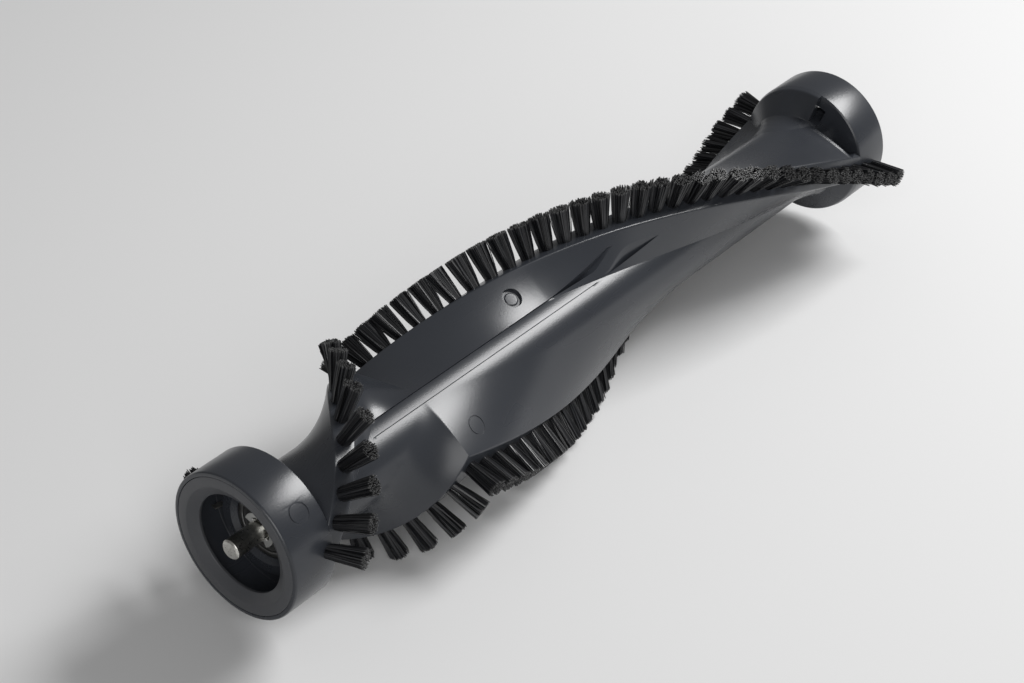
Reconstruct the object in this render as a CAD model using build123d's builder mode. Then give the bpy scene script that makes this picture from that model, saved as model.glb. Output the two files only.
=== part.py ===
from build123d import *
from math import cos, radians, sin
import os

# Brush roll of a vacuum cleaner's floor head. Two rows of bristle tufts wind round a twisted core:
# a long arm and a steeper short arm meet in a V, and row B is row A turned by half a turn.
# The roll lies on its bristles with its axis along X and the axle pin at the -X end.
# Stations are distances along the axis from the near end's face. Angles go from +Y towards +Z.

# Moulded body
body_length = 236.8
drum_radius = 18.5
near_drum_length = 12.4
far_drum_length = 12.5
drum_edge = 0.6
core_radius = 10.5
land_step = 0.1
land_half_angle = 11.5
trailing_foot_angle = 75.0
parting_angle = 99.9
leading_foot_least = 40.0
section_turn = 10.0
vane_sink = 1.0

# Rows of tufts
vertex_station = 57.0
vertex_angle = 12.1
long_twist = 1.0
short_twist = 3.5
long_first = 57.9
long_pitch = 5.25
long_tufts = 34
short_first = 10.6
short_pitch = 4.25
short_tufts = 11
short_lean = 15.0
tuft_sides = 6
tuft_root_radius = 1.65
tuft_tip_radius = 2.25
tip_circle_radius = 27.3
hole_depth = 5.0
hole_clearance = 0.05
rest_flat = 0.6

# Flat wire that staples each tuft into its hole
anchor_thickness = 0.4
anchor_height = 1.5
anchor_length = 3.0

# Hollow ends: the pressed-in ring, the trough behind it and the tube that holds the bearing
ring_radius = 17.4
ring_thickness = 2.2
ring_hole_radius = 12.4
ring_mouth_radius = 14.0
ring_mouth_depth = 1.0
ring_seat_clearance = 0.05
trough_radius = 16.5
trough_depth = 10.6
tube_radius = 11.8
tube_front = 8.0
boss_radius = 2.8
boss_floor = 1.0

# Where the vanes meet the drums: flares, and a slot with a window beside the far drum
neck_flare_length = 4.5
neck_flare_radius = 13.5
flare_length = 14.0
flare_radius = 17.6
flare_sink = 0.4
slot_width = 3.3
slot_floor_radius = 11.2
slot_start_angle = 104.0
window_angle = 110.0
window_width = 3.2
window_height = 2.0
window_radius = 13.2

# Ball bearing 5 x 16 x 5 mm
bearing_bore_radius = 2.5
bearing_radius = 8.0
bearing_width = 5.0
bearing_front = 9.0
bearing_clearance = 0.02
inner_race_radius = 4.1
outer_race_bore_radius = 6.5
ball_pitch_radius = 5.3
ball_radius = 1.39
groove_radius = 1.45
ball_count = 7
ball_sides = 8
shield_thickness = 0.3
shield_gap = 0.12
shield_recess = 0.45
cage_half_width = 0.6
cage_start = 0.35
cage_end = 1.75

# Axle pin with its retaining clip and washer
pin_protrusion = 1.4
pin_chamfer = 0.4
pin_head_radius = 3.6
pin_head_thickness = 1.6
relief_radius = 6.2
relief_length = 3.5
clip_groove_radius = 2.0
clip_station = 7.5
clip_thickness = 0.7
clip_radius = 4.5
clip_rim = 1.2
clip_prong_width = 1.5
clip_opening = 3.6
washer_radius = 4.0

# Drive coupling pressed into the far tube
coupling_radius = 9.0
coupling_length = 12.0
coupling_clearance = 0.05
coupling_flange_radius = 10.6
coupling_flange_thickness = 1.4
coupling_edge = 0.4
socket_flats = 10.0
socket_depth = 9.0
key_width = 2.4
key_height = 1.0
key_count = 3

# Round mould marks on the vanes and on the near drum
recess_radius = 2.5
recess_depth = 0.6
recess_station = 98.0
recess_share = 0.54
drum_mark_radius = 2.75
drum_mark_depth = 0.2
drum_mark_station = 7.4
drum_mark_angle = 138.0

# The row's origin lies below the middle of the roll, on the surface that it rests on
axis_height = tip_circle_radius - rest_flat
near_face_x = -(body_length - pin_protrusion) / 2
land_radius = drum_radius - land_step
far_drum_station = body_length - far_drum_length
roll_axis = Axis((0, 0, axis_height), (1, 0, 0))
half_turn = 180


def polar(radius, angle):
    """A point of a cross-section, from its radius and angle."""
    return (radius * cos(radians(angle)), radius * sin(radians(angle)))


def roll_point(station, radius=0.0, angle=0.0):
    """A point of the roll, from its station, radius and angle."""
    y, z = polar(radius, angle)
    return (near_face_x + station, y, axis_height + z)


def cross_plane(station):
    """The plane across the axis at a station, with local X and Y along +Y and +Z."""
    return Plane(origin=roll_point(station), x_dir=(0, 1, 0), z_dir=(1, 0, 0))


def turning_plane(angle=90.0):
    """A plane through the axis for turned profiles: local X is the station, local Y the radius."""
    y, z = polar(1, angle)
    return Plane(origin=roll_point(0), x_dir=(1, 0, 0), z_dir=(0, -z, y))


def radial_plane(station, angle, radius, lean=0.0):
    """A plane that faces outward at an angle and leans towards the far end."""
    y, z = polar(1, angle)
    upright, tilt = polar(1, lean)
    return Plane(
        origin=roll_point(station, radius, angle),
        x_dir=(upright, -tilt * y, -tilt * z),
        z_dir=(tilt, upright * y, upright * z),
    )


def ring_profile(inner, outer, start, end, angle=90.0):
    """A rectangle to turn round the axis, from its radii and stations."""
    with BuildSketch(turning_plane(angle)) as profile:
        with Locations(((start + end) / 2, (inner + outer) / 2)):
            Rectangle(abs(end - start), outer - inner)
    return profile.sketch


def drum_profile(start, end):
    """A solid drum with bevelled rims."""
    with BuildSketch(turning_plane()) as profile:
        with Locations(((start + end) / 2, drum_radius / 2)):
            Rectangle(end - start, drum_radius)
        chamfer(profile.vertices().group_by(Axis.Z)[-1], drum_edge)
    return profile.sketch


def flare_profile(foot, top, top_radius, angle=90.0):
    """A hollow curve that rises from the core at station foot to top_radius at station top."""
    direction = 1 if top > foot else -1
    foot_radius = core_radius - flare_sink
    with BuildSketch(turning_plane(angle)) as profile:
        with BuildLine():
            TangentArc((foot, foot_radius), (top, top_radius), tangent=(direction, 0))
            Polyline((top, top_radius), (top, foot_radius / 2), (foot, foot_radius / 2), (foot, foot_radius))
        make_face()
    return profile.sketch


def row_angle(station):
    """The angle of row A at a station, on the long or the short arm of its V."""
    if station >= vertex_station:
        return vertex_angle + long_twist * (station - vertex_station)
    return vertex_angle + short_twist * (vertex_station - station)


def leading_foot(station):
    """Where the flat leading side of vane A meets the core: the mould's parting line, at first."""
    return max(parting_angle - row_angle(station), leading_foot_least)


def vane_section(station):
    """The twisted body's section: two vanes, each flat on its leading side and hollow behind."""
    foot = leading_foot(station)
    next_foot = half_turn - trailing_foot_angle
    with BuildSketch(cross_plane(station)) as section:
        with BuildLine():
            for middle in (row_angle(station), row_angle(station) + half_turn):
                ThreePointArc(
                    polar(land_radius, middle - land_half_angle),
                    polar(land_radius, middle),
                    polar(land_radius, middle + land_half_angle),
                )
                Line(polar(land_radius, middle + land_half_angle), polar(core_radius, middle + foot))
                ThreePointArc(
                    polar(core_radius, middle + foot),
                    polar(core_radius, middle + (foot + next_foot) / 2),
                    polar(core_radius, middle + next_foot),
                )
                TangentArc(
                    polar(core_radius, middle + next_foot),
                    polar(land_radius, middle + half_turn - land_half_angle),
                    tangent=polar(1, middle + next_foot + 90),
                )
        make_face()
    return section.sketch


def body_stations():
    """The stations of the body's sections, a small turn apart between its breaks."""
    stations = body_breaks[:1]
    for start, end in zip(body_breaks, body_breaks[1:]):
        count = max(1, round(abs(row_angle(end) - row_angle(start)) / section_turn))
        stations += [start + (end - start) * (i + 1) / count for i in range(count)]
    return stations


def arm_places(first, pitch, count, lean, turn):
    """A plane for each tuft of one arm of a row, level with the drums."""
    places = []
    for i in range(count):
        station = first + pitch * i
        places.append(radial_plane(station, row_angle(station) + turn, drum_radius, lean))
    return places


def on_a_drum(place):
    """Whether a tuft stands on one of the hollow drums."""
    station = place.origin.X - near_face_x
    return not near_drum_length < station < far_drum_station


arms = {}
for row, turn in (("a", 0), ("b", half_turn)):
    arms[row + "_long"] = arm_places(long_first, long_pitch, long_tufts, 0, turn)
    arms[row + "_short"] = arm_places(short_first, short_pitch, short_tufts, short_lean, turn)
tuft_places = [place for places in arms.values() for place in places]
drum_places = [place for place in tuft_places if on_a_drum(place)]

# Cutter for one tuft's hole, and the boss that backs such a hole inside a hollow drum
with BuildPart() as tuft_hole:
    with BuildSketch(Plane.XY.offset(-hole_depth)):
        RegularPolygon(tuft_root_radius + hole_clearance, tuft_sides)
    extrude(amount=hole_depth + 1)

with BuildPart() as tuft_boss:
    with BuildSketch(Plane.XY.offset(-hole_depth - boss_floor)):
        Circle(boss_radius)
    extrude(amount=hole_depth + boss_floor - (drum_radius - trough_radius) / 2)

# Keys of the drive coupling, cut into the far tube and left on the coupling
bearing_back = bearing_front + bearing_width
bearing_middle = bearing_front + bearing_width / 2
coupling_back = tube_front + coupling_length


def coupling_keys(clearance):
    """The coupling's keys, grown by a clearance, as long as the coupling's barrel."""
    with BuildPart() as keys:
        with BuildSketch(cross_plane(body_length - coupling_back)):
            with PolarLocations(coupling_radius, key_count):
                Rectangle(2 * (key_height + clearance), key_width + 2 * clearance)
        extrude(amount=coupling_length)
    return keys.part


def leading_face_plane(station, turn):
    """The plane of a vane's flat leading side at a station."""
    middle = row_angle(station) + turn
    land = Vector(*roll_point(station, land_radius, middle + land_half_angle))
    foot = Vector(*roll_point(station, core_radius, middle + leading_foot(station)))
    normal = (foot - land).cross(Vector(-1, 0, 0))
    return Plane(origin=foot + (land - foot) * recess_share, x_dir=(1, 0, 0), z_dir=normal)


# The body bends where its twisted part starts and ends, where the foot leaves the parting line
# and at the V
parting_turn = parting_angle - leading_foot_least - vertex_angle
body_breaks = [
    near_drum_length - vane_sink,
    vertex_station - parting_turn / short_twist,
    vertex_station,
    vertex_station + parting_turn / long_twist,
    far_drum_station + vane_sink,
]

with BuildPart() as roller_body:
    loft(sections=[vane_section(station) for station in body_stations()], ruled=True)
    revolve(drum_profile(0, near_drum_length), axis=roll_axis)
    revolve(drum_profile(far_drum_station, body_length), axis=roll_axis)
    # Necks beside the drums
    neck_end = near_drum_length + neck_flare_length
    revolve(flare_profile(neck_end, near_drum_length - vane_sink, neck_flare_radius), axis=roll_axis)
    far_angle = row_angle(far_drum_station)
    slot_arc = row_angle(far_drum_station - slot_width) - land_half_angle - slot_start_angle
    for turn in (0, half_turn):
        flare_start = far_angle - half_turn + turn
        flare = flare_profile(
            far_drum_station - flare_length, far_drum_station + vane_sink, flare_radius, flare_start
        )
        revolve(flare, axis=roll_axis, revolution_arc=slot_start_angle + turn - flare_start)
        slot = ring_profile(
            slot_floor_radius,
            tip_circle_radius,
            far_drum_station - slot_width,
            far_drum_station,
            slot_start_angle + turn,
        )
        revolve(slot, axis=roll_axis, revolution_arc=slot_arc, mode=Mode.SUBTRACT)
    # Hollow ends: a seat for the ring, the mouth before the tube, and the trough round the tube
    for face, inward in ((0, 1), (body_length, -1)):
        for inner, outer, depth in (
            (0, ring_radius + ring_seat_clearance, ring_thickness),
            (0, trough_radius, tube_front),
            (tube_radius, trough_radius, trough_depth),
        ):
            hollow = ring_profile(inner, outer, face, face + inward * depth)
            revolve(hollow, axis=roll_axis, mode=Mode.SUBTRACT)
    with Locations(*drum_places):
        add(tuft_boss.part)
    # Bearing seat with the relief behind it
    seat = ring_profile(0, bearing_radius + bearing_clearance, tube_front, bearing_back)
    revolve(seat, axis=roll_axis, mode=Mode.SUBTRACT)
    relief = ring_profile(0, relief_radius, bearing_back, bearing_back + relief_length)
    revolve(relief, axis=roll_axis, mode=Mode.SUBTRACT)
    # Coupling seat
    seat = ring_profile(0, coupling_radius, body_length - tube_front, body_length - coupling_back)
    revolve(seat, axis=roll_axis, mode=Mode.SUBTRACT)
    add(coupling_keys(coupling_clearance), mode=Mode.SUBTRACT)
    # Holes for the tufts
    with Locations(*tuft_places):
        add(tuft_hole.part, mode=Mode.SUBTRACT)
    # Windows in the far drum's inner wall
    for turn in (0, half_turn):
        window = Plane(
            origin=roll_point(far_drum_station, window_radius, window_angle + turn),
            x_dir=(0, *polar(1, window_angle + turn)),
            z_dir=(1, 0, 0),
        )
        with BuildSketch(window):
            Rectangle(window_height, window_width)
        extrude(amount=far_drum_length - trough_depth + vane_sink, mode=Mode.SUBTRACT)
    # Round mould marks
    for turn in (0, half_turn):
        with BuildSketch(leading_face_plane(recess_station, turn)):
            Circle(recess_radius)
        extrude(amount=recess_depth, both=True, mode=Mode.SUBTRACT)
    with BuildSketch(radial_plane(drum_mark_station, drum_mark_angle, drum_radius)):
        Circle(drum_mark_radius)
        Circle(drum_mark_radius - drum_mark_depth, mode=Mode.SUBTRACT)
    extrude(amount=-drum_mark_depth, mode=Mode.SUBTRACT)

# Rings pressed into the mouths of the two drums
with BuildPart() as end_ring_near:
    with BuildSketch(turning_plane()):
        with BuildLine():
            Polyline(
                (0, ring_mouth_radius),
                (0, ring_radius),
                (ring_thickness, ring_radius),
                (ring_thickness, ring_hole_radius),
                (ring_mouth_depth, ring_hole_radius),
                close=True,
            )
        make_face()
    revolve(axis=roll_axis)

middle_plane = cross_plane(body_length / 2)
with BuildPart() as end_ring_far:
    mirror(end_ring_near.part, about=middle_plane)

# Tufts: a root in its hole, fanning out to the cut tips. The lowest ones are flat on the floor.
with BuildPart() as tuft:
    with BuildSketch(Plane.XY.offset(-hole_depth)):
        RegularPolygon(tuft_root_radius, tuft_sides)
    extrude(amount=hole_depth)
    with BuildSketch(Plane.XY):
        RegularPolygon(tuft_root_radius, tuft_sides)
    with BuildSketch(Plane.XY.offset(tip_circle_radius - drum_radius)):
        RegularPolygon(tuft_tip_radius, tuft_sides)
    loft(ruled=True)
    with BuildSketch(Plane.XZ):
        with Locations((0, anchor_height / 2 - hole_depth)):
            Rectangle(2 * tuft_root_radius, anchor_height)
    extrude(amount=anchor_thickness / 2, both=True, mode=Mode.SUBTRACT)

with BuildPart() as anchor:
    with BuildSketch(Plane.XZ):
        with Locations((0, anchor_height / 2 - hole_depth)):
            Rectangle(anchor_length, anchor_height)
    extrude(amount=anchor_thickness / 2, both=True)


def tuft_row(places):
    """The tufts of one arm, with the lowest tips pressed flat by the floor."""
    with BuildPart() as row:
        with Locations(*places):
            add(tuft.part)
        split(bisect_by=Plane.XY)
    return row.part


def anchor_row(places):
    """The wire anchors of one arm's tufts."""
    with BuildPart() as row:
        with Locations(*places):
            add(anchor.part)
    return row.part


# Ball bearing. Balls and grooves have eight-sided profiles, with a flat towards each race.
half_side = 180 / ball_sides


def groove_profile():
    """The profile round the balls' circle that both races' grooves are cut with."""
    with BuildSketch(turning_plane()) as groove:
        with Locations((bearing_middle, ball_pitch_radius)):
            RegularPolygon(groove_radius, ball_sides, major_radius=False, rotation=half_side)
    return groove.sketch


with BuildPart() as bearing_outer_race:
    revolve(
        ring_profile(outer_race_bore_radius, bearing_radius, bearing_front, bearing_back),
        axis=roll_axis,
    )
    revolve(groove_profile(), axis=roll_axis, mode=Mode.SUBTRACT)

with BuildPart() as bearing_inner_race:
    revolve(
        ring_profile(
            bearing_bore_radius + bearing_clearance, inner_race_radius, bearing_front, bearing_back
        ),
        axis=roll_axis,
    )
    revolve(groove_profile(), axis=roll_axis, mode=Mode.SUBTRACT)

with BuildPart() as ball:
    with BuildSketch():
        RegularPolygon(ball_radius, ball_sides, rotation=half_side)
        split(bisect_by=Plane.XZ)
    revolve(axis=Axis.X)

ball_places = [
    radial_plane(bearing_middle, 360 * i / ball_count, ball_pitch_radius) for i in range(ball_count)
]
with BuildPart() as bearing_balls:
    with Locations(*ball_places):
        add(ball.part)

with BuildPart() as bearing_cage:
    revolve(
        ring_profile(
            ball_pitch_radius - cage_half_width,
            ball_pitch_radius + cage_half_width,
            bearing_middle + cage_start,
            bearing_middle + cage_end,
        ),
        axis=roll_axis,
    )
    with Locations(*ball_places):
        Cylinder(groove_radius, 3 * cage_half_width, mode=Mode.SUBTRACT)

shield_seat = bearing_front + shield_recess
with BuildPart() as bearing_shield_front:
    revolve(
        ring_profile(
            inner_race_radius + shield_gap,
            outer_race_bore_radius - bearing_clearance,
            shield_seat - shield_thickness,
            shield_seat,
        ),
        axis=roll_axis,
    )

with BuildPart() as bearing_shield_rear:
    mirror(bearing_shield_front.part, about=cross_plane(bearing_middle))

# Axle pin: chamfered tip, groove for the clip, head behind the bearing
head_start = bearing_back + bearing_clearance
clip_back = clip_station + clip_thickness
with BuildPart() as axle_pin:
    revolve(
        ring_profile(0, bearing_bore_radius, -pin_protrusion, head_start),
        axis=roll_axis,
    )
    revolve(
        ring_profile(0, pin_head_radius, head_start, head_start + pin_head_thickness),
        axis=roll_axis,
    )
    revolve(
        ring_profile(
            clip_groove_radius,
            bearing_bore_radius + 1,
            clip_station - bearing_clearance,
            clip_back + bearing_clearance,
        ),
        axis=roll_axis,
        mode=Mode.SUBTRACT,
    )
    chamfer(axle_pin.edges().filter_by(GeomType.CIRCLE).sort_by(Axis.X)[0], pin_chamfer)

# Retaining clip: an open ring with three prongs in the groove
with BuildPart() as retaining_clip:
    with BuildSketch(cross_plane(clip_station)):
        Circle(clip_radius)
        Circle(clip_radius - clip_rim, mode=Mode.SUBTRACT)
        prong_length = clip_radius - clip_rim / 2 - clip_groove_radius - bearing_clearance
        with PolarLocations(clip_radius - clip_rim / 2 - prong_length / 2, 3, start_angle=60):
            Rectangle(prong_length, clip_prong_width)
        with Locations((0, -clip_radius)):
            Rectangle(clip_opening, 2 * clip_radius, mode=Mode.SUBTRACT)
        Circle(clip_groove_radius + bearing_clearance, mode=Mode.SUBTRACT)
    extrude(amount=clip_thickness)

with BuildPart() as thrust_washer:
    revolve(
        ring_profile(
            bearing_bore_radius + bearing_clearance,
            washer_radius,
            clip_back + bearing_clearance,
            bearing_front - bearing_clearance,
        ),
        axis=roll_axis,
    )

# Drive coupling with a hexagonal socket, keyed in the far tube
flange_back = body_length - tube_front
flange_front = flange_back + coupling_flange_thickness
with BuildPart() as drive_coupling:
    revolve(
        ring_profile(
            0, coupling_radius - coupling_clearance, body_length - coupling_back, flange_back
        ),
        axis=roll_axis,
    )
    add(coupling_keys(0))
    revolve(ring_profile(0, coupling_flange_radius, flange_back, flange_front), axis=roll_axis)
    chamfer(drive_coupling.edges().filter_by(GeomType.CIRCLE).sort_by(Axis.X)[-1], coupling_edge)
    with BuildSketch(cross_plane(flange_front)):
        RegularPolygon(socket_flats / 2, 6, major_radius=False)
    extrude(amount=-socket_depth, mode=Mode.SUBTRACT)

pieces = {
    "roller_body": roller_body.part,
    "end_ring_near": end_ring_near.part,
    "end_ring_far": end_ring_far.part,
    "bearing_outer_race": bearing_outer_race.part,
    "bearing_inner_race": bearing_inner_race.part,
    "bearing_balls": bearing_balls.part,
    "bearing_cage": bearing_cage.part,
    "bearing_shield_front": bearing_shield_front.part,
    "bearing_shield_rear": bearing_shield_rear.part,
    "axle_pin": axle_pin.part,
    "retaining_clip": retaining_clip.part,
    "thrust_washer": thrust_washer.part,
    "drive_coupling": drive_coupling.part,
}
for arm, places in arms.items():
    pieces["tufts_" + arm] = tuft_row(places)
    pieces["anchors_" + arm] = anchor_row(places)

os.makedirs("parts", exist_ok=True)
for name, piece in pieces.items():
    piece.label = name
    export_step(piece, "parts/" + name + ".step")
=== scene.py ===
import math

import bmesh
import bpy
import numpy as np
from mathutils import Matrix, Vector


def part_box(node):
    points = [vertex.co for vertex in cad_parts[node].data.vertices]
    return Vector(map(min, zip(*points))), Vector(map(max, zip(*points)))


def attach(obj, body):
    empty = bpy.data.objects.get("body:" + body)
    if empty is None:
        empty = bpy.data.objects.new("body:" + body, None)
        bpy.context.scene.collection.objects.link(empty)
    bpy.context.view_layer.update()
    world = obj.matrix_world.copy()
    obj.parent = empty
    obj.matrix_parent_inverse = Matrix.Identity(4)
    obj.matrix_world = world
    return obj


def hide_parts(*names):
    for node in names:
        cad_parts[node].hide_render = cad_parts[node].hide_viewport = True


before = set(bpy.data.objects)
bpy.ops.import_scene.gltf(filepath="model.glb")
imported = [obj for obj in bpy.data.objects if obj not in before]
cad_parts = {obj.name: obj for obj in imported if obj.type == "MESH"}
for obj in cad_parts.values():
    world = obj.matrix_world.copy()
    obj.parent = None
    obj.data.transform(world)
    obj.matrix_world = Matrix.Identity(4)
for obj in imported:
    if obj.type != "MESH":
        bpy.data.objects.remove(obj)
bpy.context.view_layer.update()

# Sizes are in millimetres. Stations are distances along the roll from its near face, which is the
# end ring's outer face. Angles are in degrees about the roll's axis, from +Y towards +Z.
MM = 0.001
ring_low, ring_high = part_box("end_ring_near")
near_face = ring_low.x / MM
body_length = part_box("end_ring_far")[1].x / MM - near_face
axis_height = (ring_low.z + ring_high.z) / 2 / MM
half_turn = 180.0
turns = (0.0, half_turn)

# Moulded body
drum_radius = 18.5
near_drum = 12.4
far_depth = 12.5
far_drum = body_length - far_depth
drum_edge = 0.6
far_edge = 1.0
core_radius = 10.5
land_radius = 18.4
land_half_angle = 11.5
land_corner = 0.4
vane_sink = 0.6
row_step = 0.7

# Angles from a row to where its vane's leading side meets the core, and to where the next
# vane's trailing side leaves it
leading_foot_least = 40.0
trailing_foot = 105.0

# Rows of tufts: a long arm and a steeper short arm meet in a V. Twists are in degrees per mm. A
# tuft leans along the roll and sways round it, and its tips spread along and across the row. The
# long arm's last tuft has a lean of its own and a wider spread
vertex_station = 57.0
vertex_angle = 12.1
long_twist = 1.0
short_twist = 3.5
tip_radius = 27.3
arms = {
    "long": {
        "first": 57.9,
        "pitch": 5.25,
        "count": 34,
        "lean": 0.0,
        "sway": 0.0,
        "tip": (2.95, 2.2),
        "last": (5.0, 1.2),
    },
    "short": {
        "first": 10.6,
        "pitch": 4.25,
        "count": 11,
        "lean": 18.0,
        "sway": 5.0,
        "tip": (2.4, 2.3),
        "last": None,
    },
}
root_spread = 1.65

# Lines that the mould's parts leave: the first is a step beside the core, the second a faint
# groove on it, and both open into wedges where the twisted leading side crosses them. Each comes
# or goes between a pair of stations
step_angle = 101.2
step_toe = 1.5
step_rise = 0.30
step_depth = 0.14
step_width = 0.15
step_comes = (41.0, 43.5)
step_goes = (104.0, 112.0)
first_wedge = {
    "deepens": (97.0, 110.0),
    "widens": (99.0, 113.0),
    "depth": 2.9,
    "width": 3.3,
    "end": 130.0,
    "taper": 14.0,
    "power": 0.6,
}
wedge_angle = 119.8
second_width = 0.1
second_wedge = {
    "opens": (125.0, 134.0),
    "depth": 2.1,
    "width": 3.1,
    "end": 144.5,
    "taper": 9.5,
    "power": 0.7,
}
second_settles = 155.0
groove_angle = 120.5
groove_clear = 2.5
groove_depth = 0.08
groove_half = 0.6
groove_comes = (38.5, 40.5)
groove_goes = (118.0, 126.0)

# Hollow ends
ring_radius = 17.4
ring_thickness = 2.2
seat_clearance = 0.05
trough_radius = 16.5
trough_depth = 10.6
tube_radius = 11.8
tube_mouth = 9.3
bearing_lead = 1.3
tube_front = 8.0
bearing_radius = 8.0
bearing_front = 9.0
bearing_back = 14.0
relief_radius = 6.2
relief_back = 17.5
ring_mouth = 14.9
ring_hole = 12.3
ring_slope = 1.5
slip = 0.02

# The necks' roots lie inside the core. The near neck is given as (distance behind the drum,
# radius, reach of its soft corner)
near_neck = [(0.0, 13.2, 0.8), (1.6, 11.4, 0.9), (4.5, 10.2)]
near_root = relief_back + 1.5
far_neck_radius = 10.4
far_root = 21.5
root_radius = 9.5

# Beside the far drum: a slot in the vane's end, and a window behind it
slot_start = far_drum - 3.3
slot_floor = 11.2
slot_first = 103.0
slot_last = 164.6
slot_edge = 0.35
lip_length = 1.7
lip_height = 0.32
window_low = 10.9
window_high = 15.0
window_first = 100.0
window_last = 114.0

# The flare up to the far drum's rim: a slow curve of (distance before the drum, rise, reach of
# its soft corner), then a cone. Between pairs of angles it fades, and it lags towards the drum
flare_first = -0.6
flare_last = 117.0
flare_curve = [(17.3, 0.1), (13.8, 0.5), (10.3, 1.2), (7.5, 2.0), (5.3, 2.9, 0.25)]
flare_start = 21.3
flare_inside = 9.4
flare_base = 10.2
flare_rim = [(1.0, 18.1, 0.5), (-vane_sink, land_radius, 0)]
flare_fades = (25.0, 117.0)
flare_left = 0.15
flare_lags = (62.0, 103.6)
flare_lag = 2.4

# Marks: round recesses on the vanes' leading sides, and thin rings elsewhere
recess_station = 98.0
recess_share = 0.54
recess_profile = [(-0.5, 0), (-0.55, 1.5), (-0.8, 1.8), (-0.8, 2.6), (1.5, 2.6), (1.5, 0)]
vane_mark_place = (65.0, 172.0)
vane_mark = {"radius": 2.3, "depth": 0.12, "width": 0.3}
drum_mark_place = (6.8, 138.0)
drum_mark = {"radius": 2.4, "depth": 0.16, "width": 0.4}

# Ball bearing, pin and clip
bearing_middle = (bearing_front + bearing_back) / 2
race_bore = 6.5
race_outside = 4.1
ball_pitch = 5.3
ball_radius = 1.39
ball_count = 7
groove_radius = 1.45
shield_inset = 0.15
shield_sheet = 0.3
shield_dish = 0.18
shield_gap = 0.15
pin_tip = -1.4
pin_radius = 2.5
pin_chamfer = 0.4
pin_chamfer_depth = 0.45
pin_groove = 2.0
head_radius = 3.6
head_length = 1.6
clip_front = 7.5
clip_back = 8.2
clip_outer = 4.4
clip_inner = 3.1
clip_middle = 133.0
clip_open = 112
prong_tip = 2.03
prong_side = 80
prong_half = 14
clip_long_side = 0.6
clip_corner = 0.25
washer_radius = 4.0

# Drive coupling
coupling_radius = 9.0
coupling_length = 12.0
coupling_gap = 0.05
flange_radius = 10.6
flange_length = 1.4
hub_radius = 7.6
hub_length = 1.1
socket_flats = 10.0
socket_depth = 7.6

# Cutters: how far they reach past what they cut, the slot's outer radius, and the thin gap
# between its cutter and the lip before it
cut_clear = 1.0
mark_clear = 0.6
slot_beyond = 1.5
window_before = 0.8
window_beyond = 3.0
socket_beyond = 3.0
slot_top = 30.0
slot_gap = 0.03

circle_points = 120
sharp_angle = 32.0
weld_distance = 0.002 * MM


def row_angle(station):
    """The angle of row A at a station."""
    if station >= vertex_station:
        return vertex_angle + long_twist * (station - vertex_station)
    return vertex_angle + short_twist * (vertex_station - station)


def polar(radius, angle):
    """A point of a cross-section, from its radius and its angle in degrees."""
    turn = math.radians(angle)
    return np.array((radius * math.cos(turn), radius * math.sin(turn)))


def ease(value, start, end):
    """Rises smoothly from 0 to 1 while value goes from start to end."""
    t = min(1.0, max(0.0, (value - start) / (end - start)))
    return t * t * (3 - 2 * t)


def to_scene(station, across):
    """Points of the scene in metres, from a station and cross-section points (y, z)."""
    across = np.atleast_2d(across)
    along = np.full(len(across), near_face + station)
    return np.column_stack((along, across[:, 0], across[:, 1] + axis_height)) * MM


def roll_point(station, radius, angle):
    """One point of the scene in metres."""
    return to_scene(station, polar(radius, angle))[0]


def soften(points, reach, steps=4, closed=False):
    """A polyline with its corners rounded by short curves that reach at most half of each side.
    A third number of a point is a reach of its own, and 0 keeps the corner."""
    reaches = [p[2] if len(p) > 2 else reach for p in points]
    points = [np.array(p[:2], float) for p in points]
    count = len(points)
    out = []
    for i, corner in enumerate(points):
        reach = reaches[i]
        if reach == 0 or (not closed and i in (0, count - 1)):
            out.append(corner)
            continue
        before = points[i - 1] - corner
        after = points[(i + 1) % count] - corner
        a = corner + before * min(0.5, reach / np.linalg.norm(before))
        b = corner + after * min(0.5, reach / np.linalg.norm(after))
        for t in np.linspace(0, 1, steps):
            out.append((1 - t) ** 2 * a + 2 * t * (1 - t) * corner + t**2 * b)
    return out


def new_object(name, points, faces):
    """A mesh object from points in metres, faces outward, smooth apart from its sharp edges."""
    mesh = bpy.data.meshes.new(name)
    mesh.from_pydata([tuple(p) for p in points], [], faces)
    shell = bmesh.new()
    shell.from_mesh(mesh)
    bmesh.ops.recalc_face_normals(shell, faces=shell.faces)
    shell.to_mesh(mesh)
    shell.free()
    obj = bpy.data.objects.new(name, mesh)
    bpy.context.scene.collection.objects.link(obj)
    smooth(obj)
    return obj


def smooth(obj):
    """Smooth shading between an object's sharp edges."""
    obj.data.shade_smooth()
    obj.data.set_sharp_from_angle(angle=math.radians(sharp_angle))


def keep_shape(obj):
    """Applies an object's modifiers, and welds the points that they leave too close."""
    shown = obj.evaluated_get(bpy.context.evaluated_depsgraph_get())
    obj.data = bpy.data.meshes.new_from_object(shown)
    obj.modifiers.clear()
    shell = bmesh.new()
    shell.from_mesh(obj.data)
    bmesh.ops.remove_doubles(shell, verts=shell.verts, dist=weld_distance)
    bmesh.ops.dissolve_degenerate(shell, edges=shell.edges, dist=weld_distance)
    shell.to_mesh(obj.data)
    shell.free()
    smooth(obj)


def combine(obj, tools, operation):
    """Joins solids to an object, or cuts them out of it, and deletes them."""
    for tool in tools:
        change = obj.modifiers.new("combine", "BOOLEAN")
        change.operation = operation
        change.solver = "EXACT"
        change.object = tool
        keep_shape(obj)
        bpy.data.objects.remove(tool)


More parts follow.
